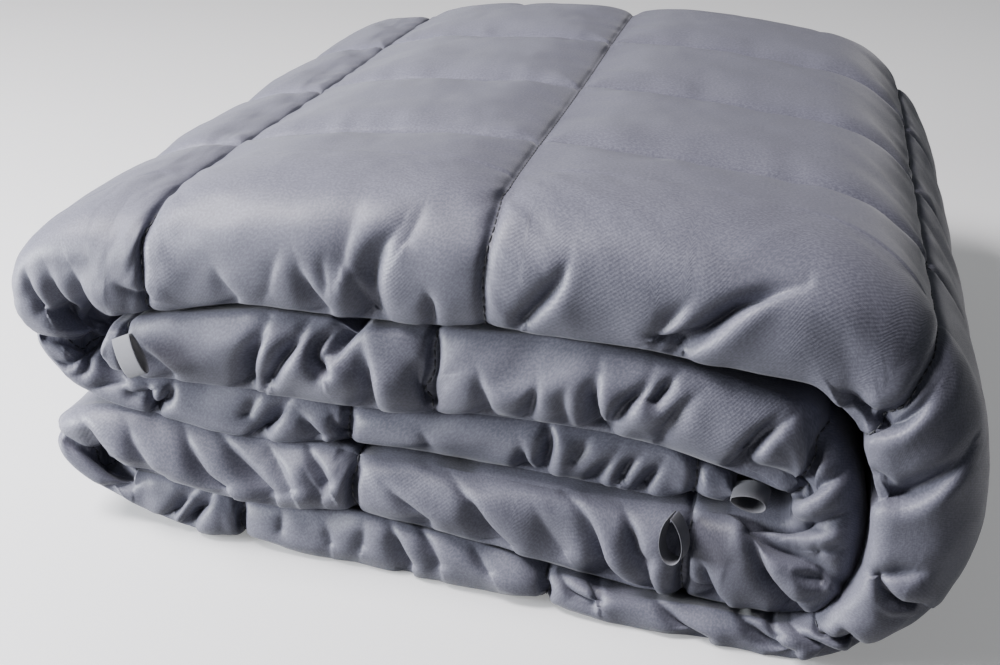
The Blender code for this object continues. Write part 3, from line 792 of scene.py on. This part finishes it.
def evenly(points, normals, pitch):
    far = ways(points)
    want = np.arange(pitch / 2, far[-1], pitch)

    def read(values, where):
        return np.stack([np.interp(where, far, values[:, k]) for k in range(3)], axis=1)

    ahead = read(points, want + pitch / 4) - read(points, want - pitch / 4)
    return read(points, want), ahead / length(ahead, True), read(normals, want)


def sewnLines():
    for piece in skinPieces:
        points, normals, cells, segment = (piece[k] for k in ("points", "normals", "cells", "segment"))
        frontLip, others = np.flatnonzero(segment == frontLipPart), np.flatnonzero(segment <= backLipPart)
        for line, cell in enumerate(cells):
            if abs(cell - round(cell)) < 1e-9 and 0 < cell < strip.cellCount and line > 0:
                order = frontLip
                if thread["faceFrom"] <= cell <= thread["faceTo"]:
                    order = np.concatenate([frontLip, others])
                yield points[line, order], normals[line, order]
        for row in (1, 2, 3) if piece["rowsSewn"] else ():
            column = np.flatnonzero((segment == row) & (piece["share"] == 0))[0]
            yield points[:, column], normals[:, column]
        run = strip.at(cells)[0]
        hems = (cloth["firstHem"], strip.whole - cloth["lastHem"])
        for hem, on in zip(hems, (cells[0] == 0, cells[-1] == strip.cellCount)):
            if on:
                line = np.argmin(np.abs(run - hem))
                yield points[line, frontLip], normals[line, frontLip]


def makeStitches():
    lines = [evenly(points, normals, thread["pitch"]) for points, normals in sewnLines()]
    middle, ahead, normal = (np.concatenate([line[k] for line in lines]) for k in range(3))
    side = np.cross(normal, ahead)
    side /= length(side, True)
    up = np.cross(ahead, side)
    rings, sides, thick = [], thread["sides"], thread["thick"]
    for along, swell, lift in zip(thread["along"], thread["swell"], thread["lift"]):
        at = middle + ahead * along * thread["long"] + up * (thread["raised"] + lift * thick)
        for k in range(sides):
            angle = 2 * math.pi * k / sides
            rings.append(at + (side * math.cos(angle) + up * math.sin(angle)) * swell * thick)
    points = np.stack(rings, axis=1)
    count = points.shape[1]
    one = tubeFaces(len(thread["along"]), sides)
    faces = [[corner + k * count for corner in face] for k in range(len(points)) for face in one]
    print("stitches", len(points))
    return addMesh("quilting_thread", points.reshape(-1, 3).tolist(), faces)


stitches = makeStitches()

# ---- tie loops of narrow tape, where the frame has them
tape = dict(wide=0.0105, thick=0.0005, edge=0.25, steps=56, around=16, round=0.25, apart=0.9, full=1.25,
            pinch=0.6)
loops = dict(
    loop_left=dict(root=(-0.1288, -0.2075, 0.0852), points=(0.46, -0.14, -0.87), width=(0.80, -0.36, 0.48),
                   long=0.0150, open=0.0030),
    loop_right_upper=dict(root=(0.0884, -0.2020, 0.0560), points=(0.96, -0.10, -0.06),
                          width=(0.12, 1.0, 0.10), long=0.012, open=0.0052),
    loop_right_lower=dict(root=(0.0695, -0.2100, 0.0480), points=(0.16, -0.22, -0.96),
                          width=(0.20, 0.95, -0.22), long=0.016, open=0.0070),
)


def tapeLoop(node, values):
    ahead = Vector(values["points"]).normalized()
    width = Vector(values["width"])
    width = (width - width.project(ahead)).normalized()
    side = ahead.cross(width)
    root = Vector(values["root"]) + Vector(centre)
    path = []
    for number in range(tape["steps"] + 1):
        turn = 2 * math.pi * number / tape["steps"]
        reach = values["long"] * (1 - math.cos(turn)) / 2
        spread = values["open"] / 2 * math.sin(turn) * abs(math.sin(turn / 2)) ** tape["pinch"] * tape["full"]
        spread += tape["thick"] * tape["apart"] * math.cos(turn / 2)
        path.append(root + ahead * reach + side * spread)
    points, flat, long = [], [], 0.0
    angles = np.linspace(0, 2 * math.pi, tape["around"] + 1)[:-1]
    half = [(math.cos(angle) * 0.5, math.sin(angle) * 0.5) for angle in angles]
    for number, place in enumerate(path):
        before, after = path[max(number - 1, 0)], path[min(number + 1, len(path) - 1)]
        out = (after - before).normalized().cross(width)
        long += (place - path[number - 1]).length if number else 0
        for across, thick in half:
            across = math.copysign(abs(across * 2) ** tape["round"], across) / 2
            edge = 1 + tape["edge"] * (abs(across) > 0.4)  # a sewn edge stands a little thicker
            points.append(place + width * across * tape["wide"] + out * thick * tape["thick"] * edge)
            flat.append((long, across * tape["wide"]))
    faces = tubeFaces(len(path), len(half))
    corners = [corner for face in faces for corner in face]
    return addMesh(node + "_tape", points, faces, np.array(flat)[corners]), long


tapes = {node: tapeLoop(node, values) for node, values in loops.items()}
print("tie loops done")


# ---- finishes
class Number:
    # a value in a material's nodes, for writing its sums as plain expressions
    def __init__(self, tree, socket):
        self.tree, self.socket = tree, socket

    def math(self, operation, first, second=0.0):
        node = self.tree.nodes.new("ShaderNodeMath")
        node.operation = operation
        for entry, value in zip(node.inputs, (first, second)):
            if isinstance(value, Number):
                self.tree.links.new(value.socket, entry)
            else:
                entry.default_value = value
        return Number(self.tree, node.outputs[0])

    def __add__(self, other):
        return self.math("ADD", self, other)

    def __mul__(self, other):
        return self.math("MULTIPLY", self, other)

    def __sub__(self, other):
        return self.math("SUBTRACT", self, other)

    def __rsub__(self, other):
        return self.math("SUBTRACT", other, self)

    __radd__, __rmul__ = __add__, __mul__

    def wave(self):
        return self.math("SINE", self)


class Finish:
    def __init__(self, name, **constants):
        self.material = bpy.data.materials.new(name)
        self.material.use_nodes = True
        self.tree = self.material.node_tree
        self.shader = self.tree.nodes["Principled BSDF"]
        for name, value in constants.items():
            self.shader.inputs[name.replace("_", " ")].default_value = value

    def node(self, kind, settings, values, output=0):
        node = self.tree.nodes.new(kind)
        for name, value in settings.items():
            setattr(node, name, value)
        for name, value in values.items():
            self.set(node.inputs[name], value)
        return Number(self.tree, node.outputs[output])

    def set(self, entry, value):
        if isinstance(value, Number):
            self.tree.links.new(value.socket, entry)
        else:
            entry.default_value = value

    def feed(self, name, value):
        self.set(self.shader.inputs[name], value)

    def place(self):
        return self.node("ShaderNodeTexCoord", {}, {}, 3)

    def cloth(self):
        # the flat cloth's own directions, in metres
        uv = self.node("ShaderNodeUVMap", dict(uv_map="cloth"), {})
        return uv, *(self.node("ShaderNodeSeparateXYZ", {}, dict(Vector=uv), k) for k in (0, 1))

    def noise(self, vector, scale, detail, rough=0.5):
        values = dict(Vector=vector, Scale=scale, Detail=detail, Roughness=rough)
        return self.node("ShaderNodeTexNoise", {}, values)

    def colour(self, mask, look):
        values = {0: mask, 6: look["colour"], 7: look["worn"]}
        mixed = self.node("ShaderNodeMix", dict(data_type="RGBA", clamp_factor=True), values, 2)
        self.feed("Base Color", mixed)

    def relief(self, height, look):
        values = dict(Strength=look["relief"], Distance=look["weaveDepth"], Height=height)
        self.feed("Normal", self.node("ShaderNodeBump", {}, values))


clothIor = 1.45
quiltLook = dict(colour=(0.116, 0.117, 0.152, 1), worn=(0.176, 0.176, 0.219, 1), roughness=0.46, sheen=0.15,
                 sheenRough=0.45, specular=0.42, twill=0.0011, slope=0.7, thread=0.00055, relief=0.55,
                 weaveDepth=0.00008, patch=34, grain=1000, wobble=160, tones=(0.5, 0.12, 4.2, 2.0))
threadLook = dict(colour=(0.030, 0.031, 0.038, 1), worn=(0.060, 0.061, 0.070, 1), roughness=0.6, sheen=0.2,
                  tone=700)
tapeLook = dict(colour=(0.085, 0.086, 0.100, 1), worn=(0.140, 0.140, 0.155, 1), roughness=0.6, sheen=0.2,
                thread=0.0007, relief=0.6, weaveDepth=0.00008, grain=900)


def quiltFinish():
    look = quiltLook
    finish = Finish("quilt cotton", Sheen_Weight=look["sheen"], Sheen_Roughness=look["sheenRough"],
                    IOR=clothIor, Specular_IOR_Level=look["specular"])
    uv, u, v = finish.cloth()
    wobble = finish.noise(uv, look["wobble"], 2)
    twill = ((u + v * look["slope"]) * (2 * math.pi / look["twill"]) + wobble * 4).wave() * 0.5 + 0.5
    weft = (v * (2 * math.pi / look["thread"]) + wobble * 3).wave() * 0.5 + 0.5
    grain = finish.noise(uv, look["grain"], 2, 0.7)
    patch = finish.noise(finish.place(), look["patch"], 3)
    byPatch, byTwill, byGrain, less = look["tones"]
    finish.colour(patch * byPatch + twill * byTwill + grain * byGrain - less, look)
    finish.feed("Roughness", look["roughness"] - 0.08 + 0.1 * patch + 0.08 * twill)
    finish.relief(twill * 0.6 + weft * 0.3 + grain * 0.5, look)
    return finish.material


def threadFinish():
    finish = Finish("quilting thread", Sheen_Weight=threadLook["sheen"], Roughness=threadLook["roughness"])
    finish.colour(finish.noise(finish.place(), threadLook["tone"], 2), threadLook)
    return finish.material


def tapeFinish():
    look = tapeLook
    finish = Finish("cotton tape", Sheen_Weight=look["sheen"], Sheen_Roughness=0.5, IOR=clothIor)
    uv, u, v = finish.cloth()
    pitch = 2 * math.pi / look["thread"]
    weave = (u * pitch).wave() * (v * pitch).wave() * 0.5 + 0.5
    grain = finish.noise(uv, look["grain"], 3)
    finish.colour(weave * 0.5 + grain * 0.5, look)
    finish.feed("Roughness", look["roughness"] + 0.1 * grain)
    finish.relief(weave + grain * 0.5, look)
    return finish.material


quiltCotton, sewingThread, tapeCotton = quiltFinish(), threadFinish(), tapeFinish()
for piece in skinPieces:
    piece["obj"].data.materials.append(quiltCotton)
    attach(piece["obj"], "root")
    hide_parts("blanket")
stitches.data.materials.append(sewingThread)
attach(stitches, "root")
for node, (obj, long) in tapes.items():
    obj.data.materials.append(tapeCotton)
    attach(obj, "root")
    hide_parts(node)
print("finishes done")

# ---- floor and lights
floorLook = dict(size=24, colour=(0.80, 0.80, 0.80, 1), worn=(0.816, 0.816, 0.816, 1), glow=0.25, patch=3)
worldLook = dict(colour=(0.86, 0.92, 1.0, 1), light=0.10)
lamps = dict(  # where each stands, what it looks at, its size, its power in watts and its colour
    window=dict(place=(-0.82, -0.34, 1.08), target=(0, 0, 0.08), size=0.5, power=40,
                colour=(1.0, 0.972, 1.0)),
    leftSide=dict(place=(-0.74, -0.43, 0.15), target=(0, -0.15, 0.06), size=0.3, power=15,
                  colour=(0.93, 0.96, 1.0)),
)


def makeFloor():
    half = floorLook["size"] / 2
    corners = [(-half, -half, 0), (half, -half, 0), (half, half, 0), (-half, half, 0)]
    floor = addMesh("floor", corners, [(0, 1, 2, 3)])
    finish = Finish("pale floor", Roughness=0.8, Emission_Color=(1, 1, 1, 1),
                    Emission_Strength=floorLook["glow"])
    finish.colour(finish.noise(finish.place(), floorLook["patch"], 2), floorLook)
    floor.data.materials.append(finish.material)
    floor.visible_diffuse = False  # keeps the floor from filling the folds with light from below


def makeLamps():
    for name, values in lamps.items():
        data = bpy.data.lights.new(name, "AREA")
        data.size, data.energy, data.color = values["size"], values["power"], values["colour"]
        lamp = addObject(name, data)
        lamp.location = values["place"]
        lamp.rotation_euler = (Vector(values["target"]) - lamp.location).to_track_quat("-Z", "Y").to_euler()
    world = bpy.data.worlds.new("studio")
    bpy.context.scene.world = world
    world.use_nodes = True
    background = world.node_tree.nodes["Background"]
    background.inputs["Color"].default_value = worldLook["colour"]
    background.inputs["Strength"].default_value = worldLook["light"]


makeFloor()
makeLamps()
print("floor and lights done")
